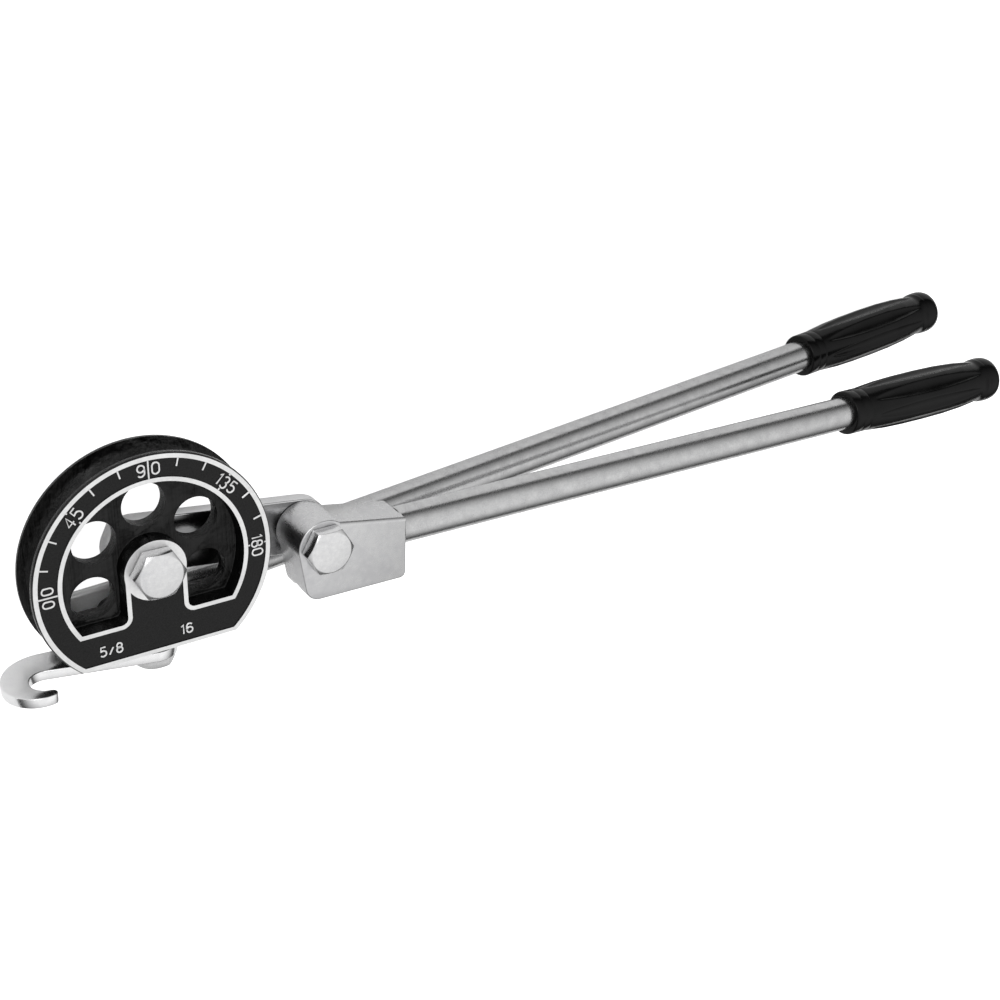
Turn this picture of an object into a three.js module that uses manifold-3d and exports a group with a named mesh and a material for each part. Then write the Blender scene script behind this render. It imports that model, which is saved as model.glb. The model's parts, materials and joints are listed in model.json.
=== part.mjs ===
// Lever tube bender for 16 mm tube: a forming wheel with its handle, a link, a shoe with its handle, and a
// hook. Lengths are in millimetres. Pieces are laid out round the wheel's axis: the dial face is z = 0 and
// looks along +z, +y points to the dial's 90 mark and +x to its 180 mark. Then it is laid on the bench.
import * as THREE from 'three';
import { mergeVertices } from 'three/addons/utils/BufferGeometryUtils.js';
import Module from 'manifold-3d';

const wasm = await Module();
wasm.setup();

// The tube that is bent
const tubeDiameter = 16;
const bendRadius = 56;
const grooveClearance = 0.15;

// Forming wheel
const flangeRise = 2;
const flangeWidth = 14;
const wheelRadius = bendRadius + flangeRise;
const wheelThickness = 22;
const wheelFlatDrop = 43.1;
const rimChamfer = 1;
const ringWidth = 2.8;
const flatRingWidth = 2;
const paintRecess = 0.5;
const windowRadius = wheelRadius - flangeWidth;
const windowFloorDrop = 23.9;
const windowLineWidth = 2.3;
const windowCornerRadius = 3.3;
const webFront = 9;
const webThickness = 6.8;
const hubRadius = 15.1;
const tabWidth = 29.6;
const webHoleRadius = 10.6;
const webHoleCircle = 29.6;
const webHoleCount = 5;
const webHoleStep = 56.2;
const tickWidth = 0.9;
const shortTickShare = 0.47;
const tickStep = 15;
const dialSweep = 180;
const longTickAngles = [0, 90];
const numberedTickStep = 45;

// Centre bolt, M14 with an M10 end, and what is stacked on it
const boltRadius = 7;
const boltHeadAcrossFlats = 22;
const boltHeadHeight = 7;
const boltHeadTurn = -1.5;
const pivotHeadTurn = 7.6;
const boltTipChamfer = 1.2;
const thrustWasherThickness = 2.6;
const thrustWasherRadius = 15;
const backWasherThickness = 2;
const backWasherRadius = 10.5;
const threadRadius = 5;
const nutAcrossFlats = 17;
const nutHexHeight = 8;
const nutCollarHeight = 1.8;
const nutCollarRadius = 7.4;
const headFaceCut = 0.055;
const headChamferSlope = 0.53;

// Link bar
const linkLength = 87;
const linkRadius = 14.5;
const linkThickness = 7.4;
const linkEdge = 0.6;
const linkRestAngle = -7.6;
const bushWall = 2.4;

// Shoe block: pivot at its own origin, tube handle along its +x
const shoeTurn = -1.06;
const barrelRadius = 14;
const shoeEndReach = 45.2;
const shoeEndTop = 5.15;
const shoeTopSlope = 9.45;
const shoeTopRounding = 2.3;
const shoeDrop = 28.2;
const shoeFootX = -9.2;
const shoeFootRadius = 8;
const shoeHeelRadius = 3;
const shoeShoulderRadius = 1.8;
const shoeEdge = 0.7;
const shoeTubeDrop = 4.3;
const spigotRadius = 7.4;
const spigotLength = 28;
const spigotBoreRadius = 5.2;
const pinRadius = 2.5;
const pinSetback = 16;
const pinCoverFront = 4;

// Handle tubes, 3/4 in steel tube
const handleRadius = 9.525;
const handleWall = 2;
const shoeGripStart = 347.3;

// Wheel handle: flattened end on two bosses, then a bend back to clear the link
const wheelHandleTurn = 2.27;
const wheelHandleDrop = 34.3;
const wheelHandleLean = 5.44;
const wheelHandleBend = 2;
const wheelGripStart = 462.3;
const flatHalfThickness = 2.4;
const tabRoundCentre = -30.5;
const flatEnd = -6;
const roundStart = 24;
const handleBossRadius = 7.3;
const handleBossHeight = 12.3;
const handleScrewRadius = 4;
const handleScrewReaches = [-34, -11];
const handleScrewLength = 25;
const handleScrewHeadAcrossFlats = 13;
const handleScrewHeadHeight = 5.3;
const handleWasherThickness = 1.6;
const handleWasherRadius = 8;

// Rubber grips
const gripRadius = 14.9;
const gripLength = 120;
const gripEndWall = 5;
const gripFluteCount = 8;
const gripFluteDepth = 1.2;
const fluteStart = 0.14;
const fluteEnd = 0.85;
const pointsPerFlute = 5;

// Hook and its bolt
const hookReach = 54.4;
const hookRestTurn = 7.7;
const hookThickness = 5;
const hookEdge = 0.5;
const hookEndRadius = 11.3;
const hookThroatRadius = 8.2;
const hookBackRadius = 21.4;
const hookBackShift = { x: 1.8, y: -2.65 };
const hookTipAngle = 106;
const hookTipRadius = 2.6;
const hookBoltRadius = 5;
const hookBoltHeadAcrossFlats = 18;
const hookBoltHeadHeight = 4.8;
const hookBoltHeadTurn = 9;
const hookBoltDepth = 17;

// Fits
const seatGap = 0.3;
const runningGap = 0.2;
const overrun = 2;
const chordError = 0.07;
const edgeSegments = 2;
const blendSteps = 6;
const noseSteps = 6;
const ringOffset = 0.5;

const wheelMid = wheelThickness / 2;
const grooveRadius = tubeDiameter / 2 + grooveClearance;
const linkFront = -wheelThickness - thrustWasherThickness - 2 * seatGap;
const linkBack = linkFront - linkThickness;
const mergeDistance = 1e-4;
const rad = THREE.MathUtils.degToRad;

// Six times the volume inside triangles, negative where their faces look inwards
function signedVolume(points, corners) {
  const [a, b, c] = [new THREE.Vector3(), new THREE.Vector3(), new THREE.Vector3()];
  let sum = 0;
  for (let i = 0; i < corners.length; i += 3) {
    a.fromArray(points, 3 * corners[i]);
    b.fromArray(points, 3 * corners[i + 1]);
    c.fromArray(points, 3 * corners[i + 2]);
    sum += a.dot(b.cross(c));
  }
  return sum;
}

// A closed geometry as a solid: seams merged, empty triangles dropped, faces turned outwards
function solid(geometry) {
  const bare = geometry.clone();
  bare.deleteAttribute('normal');
  bare.deleteAttribute('uv');
  const merged = mergeVertices(bare, mergeDistance);
  const index = merged.index.array;
  const corners = [];
  for (let i = 0; i < index.length; i += 3) {
    const [a, b, c] = [index[i], index[i + 1], index[i + 2]];
    if (a !== b && b !== c && c !== a) corners.push(a, b, c);
  }
  const vertProperties = new Float32Array(merged.attributes.position.array);
  if (signedVolume(vertProperties, corners) < 0) corners.reverse();
  const triVerts = new Uint32Array(corners);
  return new wasm.Manifold(new wasm.Mesh({ numProp: 3, vertProperties, triVerts }));
}

function toGeometry(body) {
  const mesh = body.getMesh();
  const geometry = new THREE.BufferGeometry();
  geometry.setAttribute('position', new THREE.BufferAttribute(new Float32Array(mesh.vertProperties), 3));
  geometry.setIndex(new THREE.BufferAttribute(new Uint32Array(mesh.triVerts), 1));
  return geometry.toNonIndexed();
}

function cut(part, ...tools) {
  return toGeometry(tools.reduce((rest, tool) => rest.subtract(solid(tool)), solid(part)));
}

function join(part, ...others) {
  return toGeometry(others.reduce((sum, other) => sum.add(solid(other)), solid(part)));
}

const common = (part, other) => toGeometry(solid(part).intersect(solid(other)));

// How many chords follow an arc to within the allowed error
function arcSteps(radius, angle) {
  return Math.max(2, Math.ceil(Math.abs(angle) / (2 * Math.acos(1 - chordError / radius))));
}

const wholeTurnSteps = (radius) => 4 * Math.ceil(arcSteps(radius, 2 * Math.PI) / 4);

// A plate from z = top down to z = top - depth, with an optional rounded edge inside the outline
function plate(outline, top, depth, edge = 0) {
  const rounded = {
    bevelEnabled: true,
    bevelSize: edge,
    bevelThickness: edge,
    bevelOffset: -edge,
    bevelSegments: edgeSegments,
  };
  const options = edge > 0 ? rounded : { bevelEnabled: false };
  const shape = new THREE.Shape(outline);
  const geometry = new THREE.ExtrudeGeometry(shape, { depth: depth - 2 * edge, ...options });
  return geometry.translate(0, 0, top - depth + edge);
}

// A shape turned about the z axis from a profile of [radius, z] points
function turned(points) {
  const profile = points.map(([r, z]) => new THREE.Vector2(r, z));
  const steps = wholeTurnSteps(Math.max(...points.map(([r]) => r)));
  return new THREE.LatheGeometry(profile, steps).rotateX(Math.PI / 2);
}

function rod(radius, top, bottom) {
  return turned([[0, top], [radius, top], [radius, bottom], [0, bottom]]);
}

function sleeve(outer, inner, top, bottom) {
  return turned([[inner, top], [outer, top], [outer, bottom], [inner, bottom], [inner, top]]);
}

const shifted = (geometry, x, y, z = 0) => geometry.translate(x, y, z);
const origin = new THREE.Vector2();

function onCircle(centre, radius, angle) {
  return new THREE.Vector2(Math.cos(angle), Math.sin(angle)).multiplyScalar(radius).add(centre);
}

// Points along an arc, both ends included; it turns clockwise where the second angle is smaller
function arc(centre, radius, from, to) {
  const steps = arcSteps(radius, to - from);
  const step = (to - from) / steps;
  return Array.from({ length: steps + 1 }, (_, i) => onCircle(centre, radius, from + step * i));
}

// Points round a corner rounded with the radius, coming from one point and going on to another
function roundedCorner(from, corner, to, radius) {
  const back = from.clone().sub(corner).normalize();
  const on = to.clone().sub(corner).normalize();
  const half = Math.acos(back.dot(on)) / 2;
  const middle = back.clone().add(on).normalize();
  const centre = corner.clone().addScaledVector(middle, radius / Math.sin(half));
  const sweep = Math.PI - 2 * half;
  const facing = middle.clone().negate().angle();
  const side = back.cross(on) > 0 ? -1 : 1;
  return arc(centre, radius, facing - side * sweep / 2, facing + side * sweep / 2);
}

// The dial's outline: a circle cut off flat at the bottom
function dialOutline(radius, drop) {
  const foot = Math.asin(drop / radius);
  return arc(origin, radius, -foot, Math.PI + foot);
}

// The window round the hub; grow moves the outline outwards, into the flange
function windowOutline(grow) {
  const radius = windowRadius + grow;
  const drop = windowFloorDrop + grow;
  const side = tabWidth / 2 - grow;
  const corner = windowCornerRadius + grow;
  const hub = hubRadius - grow;
  const foot = Math.asin(drop / radius);
  const reach = Math.sqrt(radius * radius - drop * drop);
  const shoulder = Math.sqrt(hub * hub - side * side);
  const hubAngle = Math.atan2(-shoulder, side);
  const at = (x, y) => new THREE.Vector2(x, y);
  return [
    ...arc(origin, radius, -foot, Math.PI + foot),
    ...roundedCorner(at(-reach, -drop), at(-side, -drop), at(-side, -shoulder), corner),
    ...arc(origin, hub, Math.PI - hubAngle, hubAngle),
    ...roundedCorner(at(side, -shoulder), at(side, -drop), at(reach, -drop), corner),
  ];
}

function wheelBlank() {
  const grooveTop = -wheelMid + grooveRadius;
  const land = wheelRadius - rimChamfer;
  const points = [[0, 0], [land, 0], [wheelRadius, -rimChamfer], [wheelRadius, grooveTop]];
  const grooveSteps = arcSteps(grooveRadius, Math.PI);
  for (let i = 0; i <= grooveSteps; i++) {
    const turn = Math.PI * i / grooveSteps;
    points.push([bendRadius - grooveRadius * Math.sin(turn), -wheelMid + grooveRadius * Math.cos(turn)]);
  }
  points.push([wheelRadius, -wheelMid - grooveRadius], [wheelRadius, rimChamfer - wheelThickness]);
  points.push([land, -wheelThickness], [0, -wheelThickness]);
  return turned(points);
}

// Raised ticks every 15 degrees from the 0 mark over the top to the 180 mark
function dialTicks() {
  const outer = wheelRadius - ringWidth;
  const inner = windowRadius + windowLineWidth;
  const ticks = [];
  for (let mark = 0; mark <= dialSweep; mark += tickStep) {
    const long = longTickAngles.includes(mark);
    if (mark % numberedTickStep === 0 && !long) continue;
    const length = (outer - inner) * (long ? 1 : shortTickShare);
    const box = new THREE.BoxGeometry(length + paintRecess, tickWidth, paintRecess + overrun);
    box.translate(outer - length / 2 + paintRecess / 2, 0, -paintRecess);
    box.rotateZ(Math.PI - rad(mark));
    ticks.push(box);
  }
  return ticks;
}

function handleBossPlaces() {
  const turn = rad(wheelHandleTurn);
  return handleScrewReaches.map((reach) => ({
    x: reach * Math.cos(turn),
    y: reach * Math.sin(turn) - wheelHandleDrop,
  }));
}

function formingWheel() {
  const flat = new THREE.BoxGeometry(2 * wheelRadius, wheelRadius, wheelThickness + 2 * overrun);
  flat.translate(0, -wheelFlatDrop - wheelRadius / 2, -wheelMid);
  const window = windowOutline(0);
  const front = plate(window, overrun, webFront + overrun);
  const webBack = webFront + webThickness;
  const back = plate(window, -webBack, wheelThickness - webBack + overrun);
  const paintedOutline = dialOutline(wheelRadius - ringWidth, wheelFlatDrop - flatRingWidth);
  const painted = cut(
    plate(paintedOutline, overrun, paintRecess + overrun),
    plate(windowOutline(windowLineWidth), 2 * overrun, paintRecess + 4 * overrun),
    rod(hubRadius, 2 * overrun, -paintRecess - overrun),
    ...dialTicks(),
  );
  let body = cut(wheelBlank(), flat, front, back, painted);
  const middle = (webHoleCount - 1) / 2;
  for (let i = 0; i < webHoleCount; i++) {
    const { x, y } = onCircle(origin, webHoleCircle, Math.PI / 2 + rad(webHoleStep * (i - middle)));
    body = cut(body, shifted(rod(webHoleRadius, 0, -wheelThickness), x, y));
  }
  for (const { x, y } of handleBossPlaces()) {
    const boss = rod(handleBossRadius, webThickness - wheelThickness, -wheelThickness - handleBossHeight);
    body = join(body, shifted(boss, x, y));
  }
  for (const { x, y } of handleBossPlaces()) {
    const [top, bottom] = [handleScrewTip() + overrun, handleScrewHeadBase() - overrun];
    body = cut(body, shifted(rod(handleScrewRadius + runningGap, top, bottom), x, y));
  }
  const hookBore = rod(hookBoltRadius + runningGap, overrun, -hookBoltDepth - overrun).rotateX(Math.PI / 2);
  return cut(body, rod(boltRadius + runningGap, overrun, -wheelThickness - overrun),
    shifted(hookBore, 0, -wheelFlatDrop, -wheelMid));
}

// A hex head or nut from z = base up to base + height, its top corners turned off
function hexHead(acrossFlats, height, base, turn = 0, bothEnds = false) {
  const cornerRadius = acrossFlats / Math.sqrt(3);
  const hex = new THREE.CylinderGeometry(cornerRadius, cornerRadius, height, 6);
  hex.rotateX(Math.PI / 2);
  hex.rotateZ(rad(turn) + Math.PI / 6);
  hex.translate(0, 0, base + height / 2);
  const face = acrossFlats / 2 * (1 - headFaceCut);
  const slope = (cornerRadius - face) * headChamferSlope;
  const lowCorner = bothEnds ? [[face, base], [cornerRadius, base + slope]] : [[cornerRadius, base]];
  const high = [[cornerRadius, base + height - slope], [face, base + height], [0, base + height]];
  return common(hex, turned([[0, base], ...lowCorner, ...high]));
}

function hexBolt(radius, acrossFlats, headHeight, tip, turn, base = seatGap) {
  const shank = turned([
    [0, base + headHeight / 2], [radius, base + headHeight / 2], [radius, tip + boltTipChamfer],
    [radius - boltTipChamfer, tip], [0, tip],
  ]);
  return join(hexHead(acrossFlats, headHeight, base, turn), shank);
}

const backWasherTop = linkBack - seatGap;
const nutTop = backWasherTop - backWasherThickness - seatGap;

// The centre bolt is full width through wheel and link, and thinner through the washer and the nut
function centreBolt() {
  const tip = centreBoltTip();
  const thread = turned([
    [0, linkBack + overrun], [threadRadius, linkBack + overrun], [threadRadius, tip + boltTipChamfer],
    [threadRadius - boltTipChamfer, tip], [0, tip],
  ]);
  return join(hexBolt(boltRadius, boltHeadAcrossFlats, boltHeadHeight, linkBack, boltHeadTurn), thread);
}

function centreNut() {
  const hex = hexHead(nutAcrossFlats, nutHexHeight, 0, boltHeadTurn, true);
  const collar = rod(nutCollarRadius, nutHexHeight + nutCollarHeight, nutHexHeight / 2);
  const bore = rod(threadRadius + runningGap, nutHexHeight + nutCollarHeight + overrun, -overrun);
  return shifted(cut(join(hex, collar), bore).rotateX(Math.PI), 0, 0, nutTop);
}

// Link bar along +x, from the wheel's axis to the shoe's pivot
function linkBar() {
  const quarter = Math.PI / 2;
  const outer = new THREE.Vector2(linkLength, 0);
  const nearEnd = arc(origin, linkRadius, quarter, 3 * quarter);
  const outline = [...nearEnd, ...arc(outer, linkRadius, -quarter, quarter)];
  const eye = rod(boltRadius + bushWall + runningGap + runningGap, linkFront + overrun, linkBack - overrun);
  const tapped = rod(boltRadius + runningGap, linkFront + overrun, linkBack - overrun);
  return cut(plate(outline, linkFront, linkThickness, linkEdge), eye, shifted(tapped, linkLength, 0));
}

const shoeShoulder = new THREE.Vector2(shoeEndReach, shoeEndTop);

// The angle on the barrel at which the sloping back comes out of it
function shoeTopMeeting() {
  const facing = Math.PI / 2 - rad(shoeTopSlope);
  const height = shoeShoulder.length() * Math.cos(facing - shoeShoulder.angle());
  return facing - Math.acos(height / barrelRadius);
}

// The shoe's side outline: round barrel, sloping back, square heel and a rounded toe
function shoeOutline() {
  const shoulder = shoeShoulder;
  const heel = new THREE.Vector2(shoeEndReach, -shoeDrop);
  const foot = new THREE.Vector2(shoeFootX, -shoeDrop);
  const top = shoeTopMeeting();
  const left = foot.angle() - Math.acos(barrelRadius / foot.length());
  return [
    ...arc(origin, barrelRadius, left, top),
    ...roundedCorner(onCircle(origin, barrelRadius, top), shoulder, heel, shoeShoulderRadius),
    ...roundedCorner(shoulder, heel, foot, shoeHeelRadius),
    ...roundedCorner(heel, foot, onCircle(origin, barrelRadius, left), shoeFootRadius),
  ];
}

const alongX = (geometry) => geometry.rotateY(Math.PI / 2);
const shoeGrooveDrop = linkLength - bendRadius;
const barrelBack = linkFront + seatGap;

// What is taken off to round the front edge of the sloping back
function shoeTopRounder() {
  const radius = shoeTopRounding;
  const at = (x, y) => new THREE.Vector2(x, y);
  const corner = arc(at(-radius, -radius), radius, Math.PI / 2, 0);
  const outline = [at(overrun, overrun), at(-radius, overrun), ...corner, at(overrun, -radius)];
  const start = onCircle(origin, barrelRadius, shoeTopMeeting());
  const length = shoeShoulder.distanceTo(start) + overrun;
  const bar = plate(outline, length, length).rotateY(Math.PI / 2).rotateX(Math.PI / 2);
  return shifted(bar.rotateZ(-rad(shoeTopSlope)), start.x, start.y);
}

function shoeBlock() {
  const body = join(
    plate(shoeOutline(), 0, wheelThickness, shoeEdge),
    rod(barrelRadius, -wheelThickness / 2, barrelBack),
  );
  const groove = alongX(rod(grooveRadius, shoeEndReach + overrun, -barrelRadius - overrun));
  const socket = alongX(rod(spigotRadius + runningGap, shoeEndReach + overrun, spigotStart() - seatGap));
  const pinHole = rod(pinRadius + runningGap, -pinCoverFront, -wheelThickness - overrun);
  return cut(
    body,
    rod(boltRadius + bushWall + 2 * runningGap, overrun, barrelBack - overrun),
    shifted(groove, 0, -shoeGrooveDrop, -wheelMid),
    shifted(socket, 0, -shoeTubeDrop, -wheelMid),
    shifted(pinHole, shoeEndReach - pinSetback, -shoeTubeDrop),
    shoeTopRounder(),
  );
}

function spigotStart() {
  return shoeEndReach - spigotLength;
}

function tubePin() {
  const top = -pinCoverFront - seatGap;
  return shifted(rod(pinRadius, top, -wheelThickness), shoeEndReach - pinSetback, -shoeTubeDrop);
}

// Shoe handle tube along +z from its turned-down end; the bore runs right through
function shoeHandleTube() {
  const shoulder = shoeEndReach + seatGap;
  const end = shoeGripStart + gripLength - gripEndWall - seatGap;
  const inner = handleRadius - handleWall;
  const lead = handleRadius - spigotRadius;
  const body = turned([
    [spigotBoreRadius, spigotStart()], [spigotRadius, spigotStart()], [spigotRadius, shoulder],
    [handleRadius, shoulder], [handleRadius, end], [inner, end], [inner, shoulder + lead + handleWall],
    [spigotBoreRadius, shoulder + handleWall], [spigotBoreRadius, spigotStart()],
  ]);
  const tube = shifted(alongX(body), 0, -shoeTubeDrop, -wheelMid);
  const pinHole = rod(pinRadius + runningGap, overrun, -wheelThickness - overrun);
  return cut(tube, shifted(pinHole, shoeEndReach - pinSetback, -shoeTubeDrop));
}

// A closed body through rings of points, each ring with as many points, ends closed flat
function loft(rings) {
  const count = rings[0].length;
  const positions = rings.flat().flatMap((p) => [p.x, p.y, p.z]);
  const indices = [];
  for (let i = 0; i + 1 < rings.length; i++) {
    for (let j = 0; j < count; j++) {
      const a = i * count + j;
      const b = i * count + (j + 1) % count;
      indices.push(a, b, a + count, b, b + count, a + count);
    }
  }
  const last = (rings.length - 1) * count;
  for (let j = 1; j + 1 < count; j++) {
    indices.push(0, j + 1, j, last, last + j, last + j + 1);
  }
  const geometry = new THREE.BufferGeometry();
  geometry.setAttribute('position', new THREE.Float32BufferAttribute(positions, 3));
  geometry.setIndex(indices);
  return geometry;
}

// A ring across the handle's line: round sides of the half thickness, drawn out to the half width
function flattenedRing(place, halfWidth, halfThickness) {
  const count = wholeTurnSteps(handleRadius);
  const straight = Math.max(halfWidth - halfThickness, 0);
  const tilt = rad(place.tilt);
  return Array.from({ length: count }, (_, i) => {
    const turn = 2 * Math.PI * (i + ringOffset) / count;
    const across = Math.sin(turn) * halfThickness + Math.sign(Math.sin(turn)) * straight;
    const up = Math.cos(turn) * halfThickness;
    return new THREE.Vector3(place.x + up * Math.sin(tilt), across, place.z + up * Math.cos(tilt));
  });
}

// A place on the wheel handle's line: level along the flattened end, then leaning back from the bend
function onWheelHandle(reach) {
  const past = Math.max(reach - wheelHandleBend, 0);
  const lean = rad(wheelHandleLean);
  const share = THREE.MathUtils.clamp((reach - flatEnd) / (roundStart - flatEnd), 0, 1);
  return {
    x: reach - past + past * Math.cos(lean),
    z: -past * Math.sin(lean),
    tilt: wheelHandleLean * share,
  };
}

// Squashing keeps the tube's girth, so it grows wider as it gets thinner
const squashedHalfWidth = (radius, halfThickness) => halfThickness + Math.PI * (radius - halfThickness) / 2;

function squashedRings(radius, thinnest) {
  const rings = [];
  for (let i = 0; i <= blendSteps; i++) {
    const share = i / blendSteps;
    const ease = share * share * (3 - 2 * share);
    const half = thinnest + (radius - thinnest) * ease;
    const place = onWheelHandle(flatEnd + (roundStart - flatEnd) * share);
    rings.push(flattenedRing(place, squashedHalfWidth(radius, half), half));
  }
  return rings;
}

function wheelHandleTube() {
  const end = wheelGripStart + gripLength - gripEndWall - seatGap;
  const tabHalfWidth = squashedHalfWidth(handleRadius, flatHalfThickness);
  const outer = [];
  for (let i = noseSteps; i > 0; i--) {
    const turn = Math.acos(flatHalfThickness / tabHalfWidth) * i / noseSteps;
    const place = { x: tabRoundCentre - tabHalfWidth * Math.sin(turn), z: 0, tilt: 0 };
    outer.push(flattenedRing(place, tabHalfWidth * Math.cos(turn), flatHalfThickness));
  }
  outer.push(flattenedRing({ x: tabRoundCentre, z: 0, tilt: 0 }, tabHalfWidth, flatHalfThickness));
  outer.push(...squashedRings(handleRadius, flatHalfThickness));
  outer.push(flattenedRing(onWheelHandle(end), handleRadius, handleRadius));
  const innerRadius = handleRadius - handleWall;
  const inner = squashedRings(innerRadius, flatHalfThickness - handleWall);
  inner.push(flattenedRing(onWheelHandle(end + overrun), innerRadius, innerRadius));
  const past = flatHalfThickness + overrun;
  const bore = () => rod(handleScrewRadius + runningGap, past, -past);
  const holes = handleScrewReaches.map((reach) => shifted(bore(), reach, 0));
  return cut(loft(outer), loft(inner), ...holes);
}

const handleTabMid = -wheelThickness - handleBossHeight - seatGap - flatHalfThickness;

function handleWasherTop() {
  return handleTabMid - flatHalfThickness - seatGap;
}

function handleScrewHeadBase() {
  return handleWasherTop() - handleWasherThickness - seatGap;
}

function handleScrewTip() {
  return handleScrewHeadBase() + handleScrewLength;
}

function handleScrew() {
  const acrossFlats = handleScrewHeadAcrossFlats;
  const bolt = hexBolt(handleScrewRadius, acrossFlats, handleScrewHeadHeight, -handleScrewLength, 0, 0);
  return shifted(bolt.rotateX(Math.PI), 0, 0, handleScrewHeadBase());
}

// Grip radius along its length, in shares, from the mouth over the belly and the neck to the domed cap
const gripProfile = [
  [0, 0.84], [0.008, 0.868], [0.05, 0.868], [0.058, 0.848], [0.07, 0.848], [0.078, 0.868], [0.1, 0.868],
  [0.108, 0.85], [0.12, 0.852], [0.16, 0.905], [0.24, 0.957], [0.36, 0.99], [0.5, 1], [0.64, 0.985],
  [0.76, 0.93], [0.84, 0.86], [0.87, 0.826], [0.89, 0.824], [0.905, 0.87], [0.925, 0.896], [0.96, 0.89],
  [0.985, 0.84], [1, 0.7],
];

// Flutes are deepest at the belly and run out before the mouth and the neck
function fluteDepth(share) {
  if (share <= fluteStart || share >= fluteEnd) return 0;
  return gripFluteDepth * Math.sqrt(Math.sin(Math.PI * (share - fluteStart) / (fluteEnd - fluteStart)));
}

function grip() {
  const count = pointsPerFlute * gripFluteCount;
  const rings = gripProfile.map(([share, radiusShare]) => Array.from({ length: count }, (_, i) => {
    const turn = 2 * Math.PI * i / count;
    const hollow = Math.max(0, Math.cos(gripFluteCount * turn));
    const radius = gripRadius * radiusShare - fluteDepth(share) * hollow;
    return new THREE.Vector3(gripLength * share, radius * Math.cos(turn), radius * Math.sin(turn));
  }));
  const bore = alongX(rod(handleRadius + runningGap, gripLength - gripEndWall, -overrun));
  return cut(loft(rings), bore);
}

// Flat hook seen from below: eye at the origin, throat centre at -x, mouth towards the eye on the +y side.
// A wide arc goes round the back as far as the outermost point, and a tighter one from there to the tip.
function hookOutline() {
  const throat = new THREE.Vector2(-hookReach, 0);
  const back = new THREE.Vector2(hookBackShift.x, hookBackShift.y).add(throat);
  const crossing = Math.asin((hookThroatRadius + hookEndRadius) / hookReach);
  const frontAngle = Math.PI / 2 + crossing;
  const spread = Math.asin((hookBackRadius - hookEndRadius) / back.length());
  const backAngle = back.clone().negate().angle() + spread - Math.PI / 2;
  const tipTurn = rad(hookTipAngle);
  const tip = onCircle(throat, hookThroatRadius + hookTipRadius, tipTurn);
  const outermost = new THREE.Vector2(back.x - hookBackRadius, back.y);
  const fromThere = tip.clone().sub(outermost);
  const span = 2 * (fromThere.x - hookTipRadius);
  const noseRadius = (fromThere.lengthSq() - hookTipRadius * hookTipRadius) / span;
  const nose = new THREE.Vector2(outermost.x + noseRadius, back.y);
  const noseAngle = tip.clone().sub(nose).angle();
  return [
    ...arc(throat, hookThroatRadius, tipTurn, frontAngle + Math.PI),
    ...arc(origin, hookEndRadius, frontAngle, backAngle),
    ...arc(back, hookBackRadius, backAngle, -Math.PI),
    ...arc(nose, noseRadius, -Math.PI, noseAngle - 2 * Math.PI).slice(1),
    ...arc(tip, hookTipRadius, noseAngle, tipTurn - Math.PI).slice(1),
  ];
}

function hook() {
  const eye = rod(hookBoltRadius + runningGap, hookThickness + overrun, -overrun);
  return cut(plate(hookOutline(), hookThickness, hookThickness, hookEdge), eye).rotateX(Math.PI / 2);
}

const hookTop = -wheelFlatDrop - seatGap;
const hookBoltBase = hookTop - hookThickness - seatGap;

function hookBolt() {
  const tip = -(hookBoltDepth - hookBoltBase - wheelFlatDrop);
  const acrossFlats = hookBoltHeadAcrossFlats;
  const bolt = hexBolt(hookBoltRadius, acrossFlats, hookBoltHeadHeight, tip, hookBoltHeadTurn, 0);
  return bolt.rotateX(Math.PI / 2);
}

// Colours and finishes
const finishes = {
  paint: { color: 0x1c1c1d, roughness: 0.5, metalness: 0.1 },
  zinc: { color: 0xc9cbcc, roughness: 0.32, metalness: 0.9 },
  steel: { color: 0x9a9c9d, roughness: 0.42, metalness: 0.85 },
  casting: { color: 0xc2c4c5, roughness: 0.4, metalness: 0.8 },
  bronze: { color: 0xa88a55, roughness: 0.4, metalness: 0.9 },
  rubber: { color: 0x141415, roughness: 0.6, metalness: 0 },
};

function piece(name, shape, finish, place = {}) {
  const mesh = new THREE.Mesh(toGeometry(solid(shape)), new THREE.MeshStandardMaterial(finishes[finish]));
  mesh.name = name;
  mesh.position.set(place.x ?? 0, place.y ?? 0, place.z ?? 0);
  mesh.rotation.set(rad(place.turnX ?? 0), rad(place.turnY ?? 0), rad(place.turnZ ?? 0));
  return mesh;
}

function wheelGroup() {
  const group = new THREE.Group();
  group.add(
    piece('forming_wheel', formingWheel(), 'paint'),
    piece('centre_bolt', centreBolt(), 'zinc'),
    piece('thrust_washer', sleeve(thrustWasherRadius, boltRadius + runningGap, -wheelThickness - seatGap,
      -wheelThickness - seatGap - thrustWasherThickness), 'zinc'),
    piece('back_washer', sleeve(backWasherRadius, threadRadius + runningGap, backWasherTop,
      backWasherTop - backWasherThickness), 'zinc'),
    piece('centre_nut', centreNut(), 'zinc'),
  );
  handleBossPlaces().forEach((place, i) => {
    const side = i === 0 ? 'outer' : 'inner';
    const washer = sleeve(handleWasherRadius, handleScrewRadius + runningGap, 0, -handleWasherThickness);
    group.add(
      piece(`handle_washer_${side}`, washer, 'zinc', { ...place, z: handleWasherTop() }),
      piece(`handle_screw_${side}`, handleScrew(), 'zinc', place),
    );
  });
  return group;
}

function wheelHandleGroup() {
  const group = new THREE.Group();
  group.position.set(0, -wheelHandleDrop, handleTabMid);
  group.rotation.z = rad(wheelHandleTurn);
  const { x, z, tilt } = onWheelHandle(wheelGripStart);
  group.add(
    piece('wheel_handle_tube', wheelHandleTube(), 'steel'),
    piece('wheel_handle_grip', grip(), 'rubber', { x, z, turnY: tilt }),
  );
  return group;
}

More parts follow.
